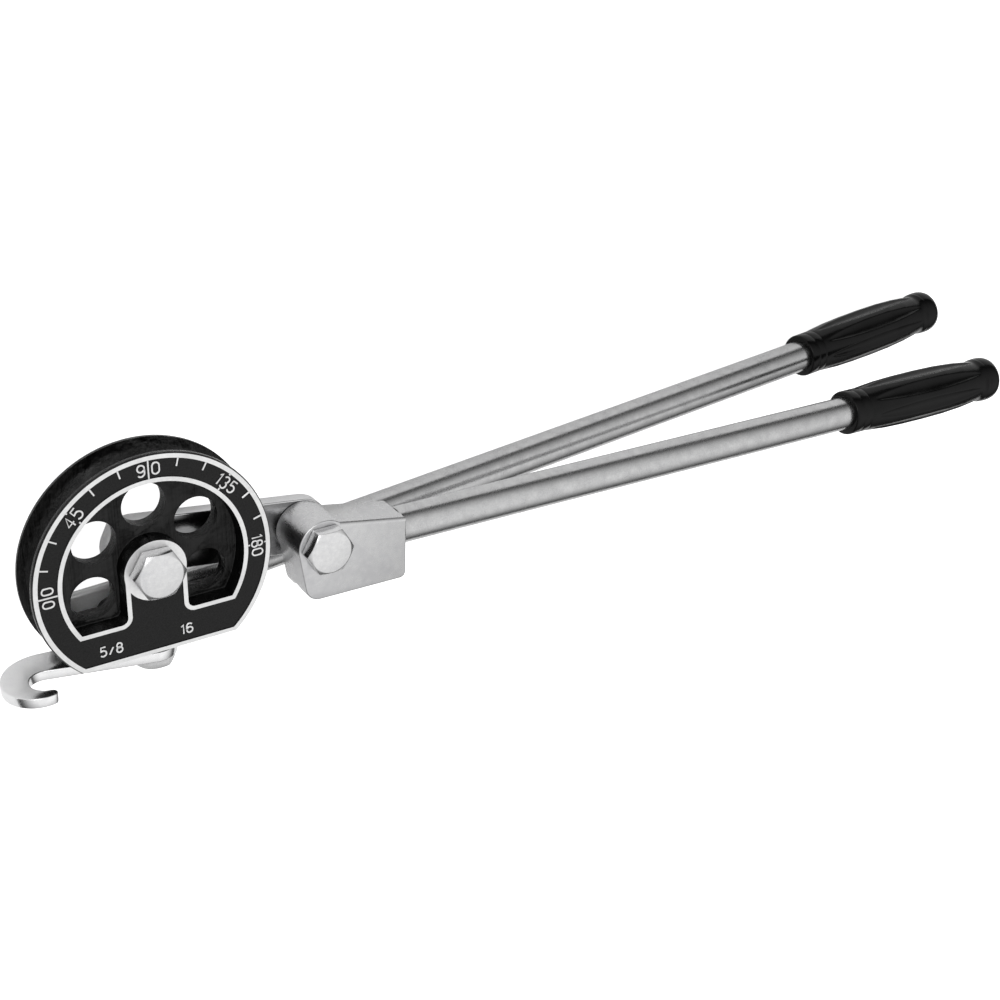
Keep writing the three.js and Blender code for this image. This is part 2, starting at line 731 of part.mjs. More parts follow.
function hookGroup() {
  const group = new THREE.Group();
  group.position.z = -wheelMid;
  group.add(
    piece('hook', hook(), 'zinc', { y: hookTop, turnY: hookRestTurn }),
    piece('hook_bolt', hookBolt(), 'zinc', { y: hookBoltBase }),
  );
  return group;
}

function shoeGroup() {
  const group = new THREE.Group();
  group.rotation.z = rad(shoeTurn - linkRestAngle);
  group.position.x = linkLength;
  const bush = sleeve(boltRadius + bushWall + runningGap, boltRadius + runningGap, 0, barrelBack);
  group.add(
    piece('shoe_block', shoeBlock(), 'casting'),
    piece('pivot_bush', bush, 'bronze'),
    piece('tube_pin', tubePin(), 'zinc'),
    piece('shoe_handle_tube', shoeHandleTube(), 'steel'),
    piece('shoe_handle_grip', grip(), 'rubber', { x: shoeGripStart, y: -shoeTubeDrop, z: -wheelMid }),
  );
  return group;
}

function linkGroup() {
  const group = new THREE.Group();
  group.rotation.z = rad(linkRestAngle);
  const bush = sleeve(boltRadius + bushWall + runningGap, boltRadius + runningGap, linkFront, linkBack);
  const bolt = hexBolt(boltRadius, boltHeadAcrossFlats, boltHeadHeight, linkBack, pivotHeadTurn);
  group.add(
    piece('link_bar', linkBar(), 'zinc'),
    piece('link_bush', bush, 'bronze'),
    piece('pivot_bolt', bolt, 'zinc', { x: linkLength }),
    shoeGroup(),
  );
  return group;
}

// Laid down, the tool rests on the outer handle screw, the centre bolt's end and the rear grip's belly
function restScrewEdge() {
  const [screw] = handleBossPlaces();
  const depth = handleScrewHeadHeight - handleScrewHeadBase();
  return { x: screw.x - handleScrewHeadAcrossFlats / 2, depth };
}

function restPitch() {
  const edge = restScrewEdge();
  const belly = onWheelHandle(wheelGripStart + gripLength / 2);
  const ridge = gripRadius * Math.cos(Math.PI / (2 * gripFluteCount));
  const bellyDepth = ridge / Math.cos(rad(wheelHandleLean)) - handleTabMid - belly.z;
  return Math.atan2(bellyDepth - edge.depth, belly.x * Math.cos(rad(wheelHandleTurn)) - edge.x);
}

function centreBoltTip() {
  const edge = restScrewEdge();
  return -edge.depth - (boltTipChamfer - threadRadius - edge.x) * Math.tan(restPitch());
}

const tool = new THREE.Group();
tool.add(wheelGroup(), wheelHandleGroup(), hookGroup(), linkGroup());
tool.rotation.y = -restPitch();

// The origin is the middle of the tool's footprint, on the bench
const box = new THREE.Box3().setFromObject(tool, true);
const bender = new THREE.Group();
tool.position.set(-(box.min.x + box.max.x) / 2, -(box.min.y + box.max.y) / 2, -box.min.z);
bender.add(tool);

export default bender;
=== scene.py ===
import json
import math

import bmesh
import bpy
from mathutils import Matrix, Vector


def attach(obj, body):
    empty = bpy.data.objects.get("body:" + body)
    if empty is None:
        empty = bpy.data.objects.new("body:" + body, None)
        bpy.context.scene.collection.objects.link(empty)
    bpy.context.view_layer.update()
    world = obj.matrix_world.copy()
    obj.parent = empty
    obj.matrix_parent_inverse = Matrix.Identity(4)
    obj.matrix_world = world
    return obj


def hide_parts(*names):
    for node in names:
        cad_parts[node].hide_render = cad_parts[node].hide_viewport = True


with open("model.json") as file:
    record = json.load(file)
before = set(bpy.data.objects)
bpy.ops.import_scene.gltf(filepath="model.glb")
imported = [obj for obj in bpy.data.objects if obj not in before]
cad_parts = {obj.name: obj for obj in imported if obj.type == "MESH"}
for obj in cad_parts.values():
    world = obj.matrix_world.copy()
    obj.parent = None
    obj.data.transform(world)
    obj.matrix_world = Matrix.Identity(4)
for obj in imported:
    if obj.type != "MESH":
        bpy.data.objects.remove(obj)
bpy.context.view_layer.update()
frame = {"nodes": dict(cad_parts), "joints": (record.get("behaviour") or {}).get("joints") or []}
print("frame loaded:", len(frame["nodes"]), "nodes")

# Everything is drawn in millimetres round the wheel's axis: +z out of the dial, +y to its 90 mark
joints = {joint["name"]: joint for joint in frame["joints"]}
axisUp = Vector(joints["link_swing"]["axis"]).normalized()
axisSide = Vector((0, 1, 0))
millimetre = 0.001
layout = {"linkMid": 28.9, "pivotMid": 12.45, "linkTurn": -7.6, "shoeTurn": -1.06}
layout.update(handleDrop=-34.3, handleDepth=-37, handleTurn=2.27, hookTop=-43.4, wheelMid=-11, hookTurn=7.7)


def frameAt(point, depth):
    place = Vector(point) + axisUp * depth * millimetre
    turn = Matrix((axisSide.cross(axisUp), axisSide, axisUp)).transposed().to_4x4()
    return Matrix.Translation(place) @ turn @ Matrix.Scale(millimetre, 4)


def turnAbout(axis, degrees):
    return Matrix.Rotation(math.radians(degrees), 4, axis)


def moved(x, y, z=0):
    return Matrix.Translation((x, y, z))


wheelFrame = frameAt(joints["link_swing"]["pos_m"], layout["linkMid"])
pivotFrame = frameAt(joints["handle_pivot"]["pos_m"], layout["pivotMid"])
linkFrame = wheelFrame @ turnAbout("Z", layout["linkTurn"])
shoeFrame = pivotFrame @ turnAbout("Z", layout["shoeTurn"])
handlePlace = wheelFrame @ moved(0, layout["handleDrop"], layout["handleDepth"])
handleFrame = handlePlace @ turnAbout("Z", layout["handleTurn"])
hookPlace = wheelFrame @ moved(0, layout["hookTop"], layout["wheelMid"])
hookFrame = hookPlace @ turnAbout("Y", layout["hookTurn"])
underFrame = hookPlace @ turnAbout("X", 90)

# The camera comes first: the photograph's own viewpoint
view = {"lens": 63.075, "sensor": 36, "nearest": 0.01}
view.update(place=(-253.403, 390.727, 666.035), right=(0.84034, 0.02239, 0.54159))
view.update(up=(0.22710, 0.89269, -0.38927), ahead=(0.49219, -0.45012, -0.74508))


def addCamera():
    data = bpy.data.cameras.new("camera")
    data.lens = view["lens"]
    data.sensor_fit = "HORIZONTAL"
    data.sensor_width = view["sensor"]
    data.clip_start = view["nearest"]
    eye = bpy.data.objects.new("camera", data)
    axes = Matrix((view["right"], view["up"], -Vector(view["ahead"]))).transposed().to_4x4()
    pose = wheelFrame @ moved(*view["place"]) @ axes
    spot, turn, _ = pose.decompose()
    eye.location = spot
    eye.rotation_mode = "QUATERNION"
    eye.rotation_quaternion = turn
    bpy.context.scene.collection.objects.link(eye)
    bpy.context.scene.camera = eye


addCamera()
print("camera placed")


# Shapes: a bmesh in millimetres in its own frame
def turnedShape(profile, steps=96, closed=False):
    bm = bmesh.new()
    line = [bm.verts.new((r, 0, z)) for r, z in profile]
    pairs = list(zip(line, line[1:])) + ([(line[-1], line[0])] if closed else [])
    edges = [bm.edges.new(pair) for pair in pairs]
    bmesh.ops.spin(bm, geom=line + edges, axis=(0, 0, 1), cent=(0, 0, 0), angle=2 * math.pi,
                   steps=steps, use_merge=True)
    bmesh.ops.remove_doubles(bm, verts=bm.verts, dist=0.001)
    bmesh.ops.recalc_face_normals(bm, faces=bm.faces)
    return bm


def rodShape(radius, top, bottom, steps=64):
    return turnedShape([(0, top), (radius, top), (radius, bottom), (0, bottom)], steps)


def sleeveShape(outer, inner, top, bottom, steps=64):
    return turnedShape([(inner, top), (outer, top), (outer, bottom), (inner, bottom)], steps, closed=True)


def plateShape(outline, top, depth):
    bm = bmesh.new()
    face = bm.faces.new([bm.verts.new((x, y, top)) for x, y in outline])
    grown = bmesh.ops.extrude_face_region(bm, geom=[face])
    bmesh.ops.translate(bm, verts=newVerts(grown), vec=(0, 0, -depth))
    bmesh.ops.recalc_face_normals(bm, faces=bm.faces)
    return bm


def softenEdges(bm, width, degrees=30, segments=2, keep=lambda edge: True):
    sharp = [e for e in bm.edges if len(e.link_faces) == 2 and keep(e)
             and e.calc_face_angle(0) > math.radians(degrees)]
    bmesh.ops.bevel(bm, geom=sharp, offset=width, offset_type="OFFSET", affect="EDGES", segments=segments,
                    profile=0.5, material=-1, clamp_overlap=True)
    return bm


def shifted(bm, x, y, z=0):
    bmesh.ops.translate(bm, verts=bm.verts, vec=(x, y, z))
    return bm


def spun(bm, axis, degrees):
    turn = Matrix.Rotation(math.radians(degrees), 3, axis)
    bmesh.ops.rotate(bm, verts=bm.verts, cent=(0, 0, 0), matrix=turn)
    return bm


def alongX(bm):
    return spun(bm, "Y", 90)


def newVerts(grown):
    return [v for v in grown["geom"] if isinstance(v, bmesh.types.BMVert)]


def helper(bm):
    mesh = bpy.data.meshes.new("helper")
    bm.to_mesh(mesh)
    bm.free()
    made = bpy.data.objects.new("helper", mesh)
    bpy.context.scene.collection.objects.link(made)
    return made


def combined(base, tools, operation="DIFFERENCE"):
    target = helper(base)
    others = [helper(tool) for tool in tools]
    for other in others:
        step = target.modifiers.new("step", "BOOLEAN")
        step.operation = operation
        step.solver = "EXACT"
        step.object = other
    bpy.context.view_layer.update()
    result = bmesh.new()
    result.from_mesh(target.evaluated_get(bpy.context.evaluated_depsgraph_get()).data)
    for used in [target, *others]:
        mesh = used.data
        bpy.data.objects.remove(used)
        bpy.data.meshes.remove(mesh)
    bmesh.ops.remove_doubles(result, verts=result.verts, dist=0.002)
    return result


def arcPoints(centre, radius, start, end, chord=4):
    steps = max(2, math.ceil(abs(end - start) / chord))
    turns = [math.radians(start + (end - start) * i / steps) for i in range(steps + 1)]
    return [(centre[0] + radius * math.cos(t), centre[1] + radius * math.sin(t)) for t in turns]


def roundedCorner(before, corner, after, radius, chord=9):
    corner = Vector(corner)
    back = (Vector(before) - corner).normalized()
    on = (Vector(after) - corner).normalized()
    half = math.acos(back.dot(on)) / 2
    middle = (back + on).normalized()
    centre = corner + middle * radius / math.sin(half)
    sweep = 180 - 2 * math.degrees(half)
    facing = math.degrees(math.atan2(-middle.y, -middle.x))
    side = -1 if back.x * on.y - back.y * on.x > 0 else 1
    return arcPoints(centre, radius, facing - side * sweep / 2, facing + side * sweep / 2, chord)


def asPiece(name, bm, place, finish, body, stands, smooth=35):
    bmesh.ops.transform(bm, matrix=place, verts=bm.verts)
    mesh = bpy.data.meshes.new(name)
    bm.to_mesh(mesh)
    bm.free()
    mesh.materials.append(finish)
    for polygon in mesh.polygons:
        polygon.use_smooth = True
    mesh.set_sharp_from_angle(angle=math.radians(smooth))
    made = bpy.data.objects.new(name, mesh)
    bpy.context.scene.collection.objects.link(made)
    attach(made, body)
    if stands:
        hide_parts(*stands)
    return made


# Finishes: node materials on Object coordinates, in metres
def newFinish(name, metallic, roughness, colour=(0.5, 0.5, 0.5)):
    finish = bpy.data.materials.new(name)
    finish.use_nodes = True
    shader = finish.node_tree.nodes["Principled BSDF"]
    shader.inputs["Metallic"].default_value = metallic
    shader.inputs["Roughness"].default_value = roughness
    shader.inputs["Base Color"].default_value = (*colour, 1)
    return finish, finish.node_tree.nodes, finish.node_tree.links, shader


def objectPlace(nodes, links, scale=(1, 1, 1), place=None):
    coords = nodes.new("ShaderNodeTexCoord")
    mapping = nodes.new("ShaderNodeMapping")
    mapping.inputs["Scale"].default_value = scale
    if place:
        spot, turn, _ = place.inverted().decompose()
        mapping.inputs["Rotation"].default_value = turn.to_euler()
        mapping.inputs["Location"].default_value = spot
    links.new(coords.outputs["Object"], mapping.inputs["Vector"])
    return mapping.outputs["Vector"]


def noiseAt(nodes, links, place, scale, detail=4, rough=0.55):
    noise = nodes.new("ShaderNodeTexNoise")
    noise.inputs["Scale"].default_value = scale
    noise.inputs["Detail"].default_value = detail
    noise.inputs["Roughness"].default_value = rough
    links.new(place, noise.inputs["Vector"])
    return noise.outputs["Fac"]


def ramp(nodes, links, source, low, high, start=0.3, end=0.7):
    mapped = nodes.new("ShaderNodeMapRange")
    mapped.inputs["From Min"].default_value = start
    mapped.inputs["From Max"].default_value = end
    mapped.inputs["To Min"].default_value = low
    mapped.inputs["To Max"].default_value = high
    links.new(source, mapped.inputs["Value"])
    return mapped.outputs["Result"]


def colourBetween(nodes, links, factor, first, second):
    mix = nodes.new("ShaderNodeMix")
    mix.data_type = "RGBA"
    mix.inputs[6].default_value = (*first, 1)
    mix.inputs[7].default_value = (*second, 1)
    links.new(factor, mix.inputs[0])
    return mix.outputs[2]


def bumpFrom(nodes, links, shader, height, distance, strength=0.5, after=None):
    bump = nodes.new("ShaderNodeBump")
    bump.inputs["Distance"].default_value = distance
    bump.inputs["Strength"].default_value = strength
    links.new(height, bump.inputs["Height"])
    if after:
        links.new(after, bump.inputs["Normal"])
    links.new(bump.outputs["Normal"], shader.inputs["Normal"])
    return bump.outputs["Normal"]


# Every metal blends a broad and a fine grain, which drive its tone, gloss and bump together
metalLook = {"broadScale": 0.12, "broadShare": 0.45, "fineShare": 0.55, "darkUpTo": 0.36, "brightFrom": 0.64}


def metalFinish(name, low, high, roughLow, roughHigh, grain, pits, stretch=(1, 1, 1), metallic=1.0):
    finish, nodes, links, shader = newFinish(name, metallic, roughLow)
    spot = objectPlace(nodes, links, stretch)
    broad = noiseAt(nodes, links, spot, grain * metalLook["broadScale"], 3)
    fine = noiseAt(nodes, links, spot, grain, 5, 0.65)
    blend = nodes.new("ShaderNodeMath")
    blend.operation = "MULTIPLY_ADD"
    blend.inputs[1].default_value = metalLook["fineShare"]
    links.new(fine, blend.inputs[0])
    rest = nodes.new("ShaderNodeMath")
    rest.operation = "MULTIPLY"
    rest.inputs[1].default_value = metalLook["broadShare"]
    links.new(broad, rest.inputs[0])
    links.new(rest.outputs[0], blend.inputs[2])
    ends = metalLook["darkUpTo"], metalLook["brightFrom"]
    tone = ramp(nodes, links, blend.outputs[0], 0, 1, *ends)
    links.new(colourBetween(nodes, links, tone, low, high), shader.inputs["Base Color"])
    rough = ramp(nodes, links, blend.outputs[0], roughHigh, roughLow, *ends)
    links.new(rough, shader.inputs["Roughness"])
    bumpFrom(nodes, links, shader, blend.outputs[0], pits)
    return finish


faceLook = {"dark": (0.003, 0.003, 0.003), "light": (0.014, 0.014, 0.014), "specular": 0.2, "grain": 1300}
faceLook.update(glossiest=0.24, dullest=0.4, bump=0.00015)


def facePaint():
    finish, nodes, links, shader = newFinish("facePaint", 0.0, 0.3, (0.006, 0.006, 0.006))
    shader.inputs["Specular IOR Level"].default_value = faceLook["specular"]
    spot = objectPlace(nodes, links)
    fine = noiseAt(nodes, links, spot, faceLook["grain"], 4, 0.6)
    tone = ramp(nodes, links, fine, 0, 1)
    colour = colourBetween(nodes, links, tone, faceLook["dark"], faceLook["light"])
    links.new(colour, shader.inputs["Base Color"])
    rough = ramp(nodes, links, fine, faceLook["glossiest"], faceLook["dullest"])
    links.new(rough, shader.inputs["Roughness"])
    bumpFrom(nodes, links, shader, fine, faceLook["bump"])
    return finish


# Glossier paint in the groove and behind the face, over the fine rings that the turning tool left. Its colour
# is darker than the face paint's: painted shade for the groove and the recesses
castLook = {"colour": (0.0015, 0.0015, 0.0015), "specular": 0.32, "rings": 420, "patches": 90, "lumps": 260}
castLook.update(faintest=0.3, strongest=1.7, glossiest=0.03, dullest=0.18, ringBump=0.0009, lumpBump=0.0003)


def castPaint(place):
    finish, nodes, links, shader = newFinish("castPaint", 0.0, 0.2, castLook["colour"])
    shader.inputs["Specular IOR Level"].default_value = castLook["specular"]
    spot = objectPlace(nodes, links, (1, 1, 1), place)
    split = nodes.new("ShaderNodeSeparateXYZ")
    links.new(spot, split.inputs[0])
    flat = nodes.new("ShaderNodeCombineXYZ")
    links.new(split.outputs["X"], flat.inputs["X"])
    links.new(split.outputs["Y"], flat.inputs["Y"])
    across = nodes.new("ShaderNodeVectorMath")
    across.operation = "LENGTH"
    links.new(flat.outputs[0], across.inputs[0])
    rings = nodes.new("ShaderNodeCombineXYZ")
    links.new(across.outputs["Value"], rings.inputs["X"])
    links.new(split.outputs["Z"], rings.inputs["Y"])
    streaks = nodes.new("ShaderNodeMath")
    streaks.operation = "MULTIPLY"
    links.new(noiseAt(nodes, links, rings.outputs[0], castLook["rings"], 5, 0.75), streaks.inputs[0])
    patches = noiseAt(nodes, links, spot, castLook["patches"], 3)
    broken = ramp(nodes, links, patches, castLook["faintest"], castLook["strongest"])
    links.new(broken, streaks.inputs[1])
    lumps = noiseAt(nodes, links, spot, castLook["lumps"], 4, 0.6)
    rough = ramp(nodes, links, lumps, castLook["glossiest"], castLook["dullest"])
    links.new(rough, shader.inputs["Roughness"])
    first = bumpFrom(nodes, links, shader, streaks.outputs[0], castLook["ringBump"], 0.8)
    bumpFrom(nodes, links, shader, lumps, castLook["lumpBump"], 0.4, first)
    return finish


rubberLook = {"dark": (0.002, 0.002, 0.002), "light": (0.005, 0.005, 0.005), "specular": 0.16, "grain": 1400}
rubberLook.update(patches=60, glossiest=0.15, dullest=0.25, bump=0.00006)


def rubberFinish():
    finish, nodes, links, shader = newFinish("blackRubber", 0.0, 0.3, (0.003, 0.003, 0.003))
    shader.inputs["Specular IOR Level"].default_value = rubberLook["specular"]
    spot = objectPlace(nodes, links)
    fine = noiseAt(nodes, links, spot, rubberLook["grain"], 3, 0.6)
    broad = noiseAt(nodes, links, spot, rubberLook["patches"], 3)
    tone = ramp(nodes, links, broad, 0, 1)
    colour = colourBetween(nodes, links, tone, rubberLook["dark"], rubberLook["light"])
    links.new(colour, shader.inputs["Base Color"])
    rough = ramp(nodes, links, broad, rubberLook["glossiest"], rubberLook["dullest"])
    links.new(rough, shader.inputs["Roughness"])
    bumpFrom(nodes, links, shader, fine, rubberLook["bump"], 0.4)
    return finish


finishes = {
    "face": facePaint(),
    "cast": castPaint(wheelFrame),
    "bare": metalFinish("bareMetal", (0.76, 0.76, 0.76), (0.86, 0.86, 0.86), 0.3, 0.4, 700, 0.00002),
    "zinc": metalFinish("brightZinc", (0.64, 0.64, 0.65), (0.74, 0.74, 0.74), 0.22, 0.3, 420, 0.00003),
    "block": metalFinish("platedCasting", (0.55, 0.55, 0.56), (0.62, 0.62, 0.62), 0.24, 0.32, 300, 0.00004),
    "tube": metalFinish("satinTube", (0.46, 0.46, 0.465), (0.60, 0.60, 0.60), 0.2, 0.3, 1500, 0.00004),
    "link": metalFinish("polishedLink", (0.58, 0.58, 0.59), (0.68, 0.68, 0.68), 0.14, 0.22, 260, 0.00001,
                        (0.25, 2, 2)),
    # Painted shade: a darker copy of the link's metal for its flat front, which lies in shade behind the
    # wheel
    "shadedLinkFace": metalFinish("shadedLinkFace", (0.20, 0.20, 0.205), (0.30, 0.30, 0.30), 0.16, 0.26, 260, 0.00001,
                            (0.25, 2, 2)),
    "hook": metalFinish("hookSteel", (0.82, 0.82, 0.83), (0.90, 0.90, 0.90), 0.16, 0.24, 240, 0.00001),
    # Painted light: a lighter, partly diffuse copy of the tube metal, so the flattened end shows bright
    # behind the wheel
    "pressed": metalFinish("pressedEndPaintedLight", (0.80, 0.80, 0.80), (0.90, 0.90, 0.90), 0.34, 0.5, 900, 0.00003,
                           metallic=0.4),
    "bronze": metalFinish("bronze", (0.42, 0.29, 0.13), (0.55, 0.40, 0.2), 0.35, 0.5, 600, 0.00005),
    "rubber": rubberFinish(),
}
print("finishes ready")

# Forming wheel
wheel = {"radius": 58, "thickness": 22, "mid": -11, "grooveRadius": 8.15, "bendRadius": 56, "flat": -43.1}
wheel.update(ringWidth=2.8, flatRing=2, recess=0.5, hub=15.1, holes=5, holeStep=56.2)
wheel.update(window=44, windowFloor=-23.9, line=2.1, fillet=3.3, tab=29.6)
wheel.update(webFront=-9, webBack=-15.8, holeRadius=10.6, holeCircle=29.6, holeRim=0.3)
wheel["rimMiddle"] = (0.08, 0.1)  # halfway round a hole's rim: out from the bore, down from the web
wheel.update(bossRadius=7.3, bossEnd=-34.3, bossReaches=(-34, -11), bolt=7.2, land=57.35, floorFillet=0.5)
wheel.update(screwBore=4.2, hookBore=5.2, lip=0.4, rimRound=((0.45, 0.2), (0.15, 0.5), (0, 1)))
# How far the cutting shapes reach, and where the bosses begin
wheel.update(over=5, skim=3, mask=4, flare=2, flatReach=70, flatDrop=90, backCut=20, bossTop=-15.2)
wheel.update(screwBoreTop=-16, screwBoreEnd=-60, hookBoreEnd=-19, boltBoreEnd=-30)
# What counts as ground, painted or worn: heights, angles, and how squarely a face looks forward
wheel.update(groundLow=-0.2, groundFacing=0.985, paintLow=-0.7, paintFacing=0.9)
wheel.update(worn=(-50, -14), wornLow=-1.1, wornInside=0.1)


def dialOutline(radius, floor, chord=2):
    foot = math.degrees(math.asin(-floor / radius))
    return arcPoints((0, 0), radius, -foot, 180 + foot, chord)


def windowOutline(grow, chord=2.5):
    radius, floor = wheel["window"] + grow, wheel["windowFloor"] - grow
    side, fillet, hub = wheel["tab"] / 2 - grow, wheel["fillet"] + grow, wheel["hub"] - grow
    foot = math.degrees(math.asin(-floor / radius))
    reach = math.sqrt(radius ** 2 - floor ** 2)
    shoulder = -math.sqrt(hub ** 2 - side ** 2)
    turn = math.degrees(math.atan2(shoulder, side))
    return [
        *arcPoints((0, 0), radius, -foot, 180 + foot, chord),
        *roundedCorner((-reach, floor), (-side, floor), (-side, shoulder), fillet),
        *arcPoints((0, 0), hub, 180 - turn, turn, 4),
        *roundedCorner((side, shoulder), (side, floor), (reach, floor), fillet),
    ]


def bossPlaces():
    turn, drop = math.radians(layout["handleTurn"]), layout["handleDrop"]
    return [(reach * math.cos(turn), drop + reach * math.sin(turn)) for reach in wheel["bossReaches"]]


def wheelBlank():
    radius, mid, groove = wheel["radius"], wheel["mid"], wheel["grooveRadius"]
    back, lip, steps = -wheel["thickness"], wheel["lip"], 20
    profile = [(0, 0), (wheel["land"], 0)]
    profile += [(radius - inward, -down) for inward, down in wheel["rimRound"]]
    profile.append((radius, mid + groove + lip))
    for i in range(1, steps):
        turn = math.pi * i / steps
        profile.append((wheel["bendRadius"] - groove * math.sin(turn), mid + groove * math.cos(turn)))
    profile.append((radius, mid - groove - lip))
    profile += [(radius - inward, back + down) for inward, down in reversed(wheel["rimRound"])]
    profile += [(wheel["land"], back), (0, back)]
    return turnedShape(profile, steps=180)


def dialRecess():
    skim, mask = wheel["skim"], wheel["mask"]
    edge = dialOutline(wheel["radius"] - wheel["ringWidth"], wheel["flat"] + wheel["flatRing"])
    window = plateShape(windowOutline(wheel["line"]), mask, 2 * mask)
    hub = rodShape(wheel["hub"], mask, -mask, steps=90)
    return combined(plateShape(edge, skim, skim + wheel["recess"]), [window, hub])


def webHoles():
    web, hole, rim, flare = wheel["webFront"], wheel["holeRadius"], wheel["holeRim"], wheel["flare"]
    end = wheel["webBack"] - wheel["mask"]
    outward, down = wheel["rimMiddle"]
    profile = [(0, web + flare), (hole + rim + flare, web + flare), (hole + rim, web),
               (hole + outward, web - down), (hole, web - rim), (hole, end), (0, end)]
    circle, middle = wheel["holeCircle"], (wheel["holes"] - 1) / 2
    turns = [math.radians(90 + wheel["holeStep"] * (i - middle)) for i in range(wheel["holes"])]
    return [shifted(turnedShape(profile, 72), circle * math.cos(t), circle * math.sin(t)) for t in turns]


def formingWheel():
    over, reach, web, webBack = wheel["over"], wheel["flatReach"], wheel["webFront"], wheel["webBack"]
    low = -wheel["flatDrop"]
    below = [(-reach, low), (reach, low), (reach, wheel["flat"]), (-reach, wheel["flat"])]
    flat = plateShape(below, over, wheel["thickness"] + 2 * over)
    front = softenEdges(plateShape(windowOutline(0), over, over - web), wheel["floorFillet"], 60, 3,
                        lambda e: all(v.co.z < 0 for v in e.verts))
    back = softenEdges(plateShape(windowOutline(0), webBack, wheel["backCut"]), wheel["floorFillet"], 60, 3,
                       lambda e: all(v.co.z > webBack - 1 for v in e.verts))
    body = combined(wheelBlank(), [flat, front, back, dialRecess(), *webHoles()])
    top, end = wheel["bossTop"], wheel["bossEnd"]
    bosses = [shifted(rodShape(wheel["bossRadius"], top, end, 48), x, y) for x, y in bossPlaces()]
    body = combined(body, bosses, "UNION")
    top, end = wheel["screwBoreTop"], wheel["screwBoreEnd"]
    bores = [shifted(rodShape(wheel["screwBore"], top, end, 32), x, y) for x, y in bossPlaces()]
    hookBore = spun(rodShape(wheel["hookBore"], wheel["skim"], wheel["hookBoreEnd"], 32), "X", 90)
    shifted(hookBore, 0, wheel["flat"], wheel["mid"])
    return combined(body, [rodShape(wheel["bolt"], over, wheel["boltBoreEnd"], 48), *bores, hookBore])


# The ground front faces are bare, and so is the outer edge where handling has worn the paint off
def dressWheel(piece, place):
    toDial = place.inverted()
    piece.data.materials.append(finishes["bare"])
    piece.data.materials.append(finishes["face"])
    for polygon in piece.data.polygons:
        middle = toDial @ polygon.center
        facing = (toDial.to_3x3() @ polygon.normal).normalized().z
        across = math.hypot(middle.x, middle.y)
        turn = math.degrees(math.atan2(middle.y, middle.x))
        ground = middle.z > wheel["groundLow"] and facing > wheel["groundFacing"]
        outside = across > wheel["land"] - wheel["wornInside"] and middle.z > wheel["wornLow"]
        worn = outside and wheel["worn"][0] < turn < wheel["worn"][1]
        painted = middle.z > wheel["paintLow"] and facing > wheel["paintFacing"]
        polygon.material_index = 1 if ground or worn else 2 if painted else 0


castWheel = asPiece("formingWheel", formingWheel(), wheelFrame, finishes["cast"], "wheel",
                    ["forming_wheel"], smooth=32)
dressWheel(castWheel, wheelFrame)
print("forming wheel made")

# Raised dial marks: strokes in a box one unit high
dial = {"spacing": 1.35, "stroke": 0.46, "sink": -0.16, "middle": 50.75, "outer": 55.4, "inner": 46.2}
dial.update(step=15, tickEnd=51.2, stubLength=0.9, sizeHeight=4.8, sizeBase=-37.2)
dial.update(splitGap=1.8, halfDigit=0.3)
dial["split"] = {0: ("00", 5.2), 90: ("90", 5.6)}  # digits on both sides of a long tick: text, height
dial["numbers"] = {45: (5.9, 1.7, 0), 135: (5.6, 1.35, 1.4), 180: (5.3, 1.35, 0.8)}  # height, gap, shift
dial["sizes"] = {"5/8": -24, "16": 13.2}  # under the window: text, middle


def glyphs():
    oval = arcPoints((0.3, 0.7), 0.3, 0, 180, 15) + arcPoints((0.3, 0.3), 0.3, 180, 360, 15)
    six = arcPoints((0.3, 0.7), 0.3, 35, 180, 15) + arcPoints((0.3, 0.3), 0.3, 180, 540, 15)
    three = arcPoints((0.28, 0.74), 0.26, 155, -90, 15)[:-1] + arcPoints((0.28, 0.24), 0.28, 80, -150, 15)
    return {
        "0": (0.6, [oval + oval[:1]]),
        "1": (0.26, [[(0, 0.8), (0.2, 1), (0.2, 0)]]),
        "3": (0.58, [three]),
        "4": (0.62, [[(0.45, 0), (0.45, 1), (0, 0.3), (0.62, 0.3)]]),
        "5": (0.6, [[(0.53, 1), (0.08, 1), (0.04, 0.56)] + arcPoints((0.28, 0.31), 0.31, 125, -145, 15)]),
        "6": (0.6, [six]),
        "8": (0.6, [arcPoints((0.3, 0.75), 0.25, -90, 270, 15), arcPoints((0.3, 0.27), 0.29, 90, 450, 15)]),
        "9": (0.6, [[(0.6 - x, 1 - y) for x, y in six]]),
        "/": (0.46, [[(0.02, 0.02), (0.42, 0.76)]]),
    }


def writtenStrokes(text, height, gap):
    shapes = glyphs()
    widths = [shapes[letter][0] * height for letter in text]
    cursor = -(sum(widths) + gap * (len(text) - 1)) / 2
    strokes = []
    for letter, width in zip(text, widths):
        for path in shapes[letter][1]:
            strokes.append([(cursor + x * height, (y - 0.5) * height) for x, y in path])
        cursor += width + gap
    return strokes


def turnedStroke(path, turn, middle):
    c, s = math.cos(turn), math.sin(turn)
    return [(x * c - (y + middle) * s, x * s + (y + middle) * c) for x, y in path]


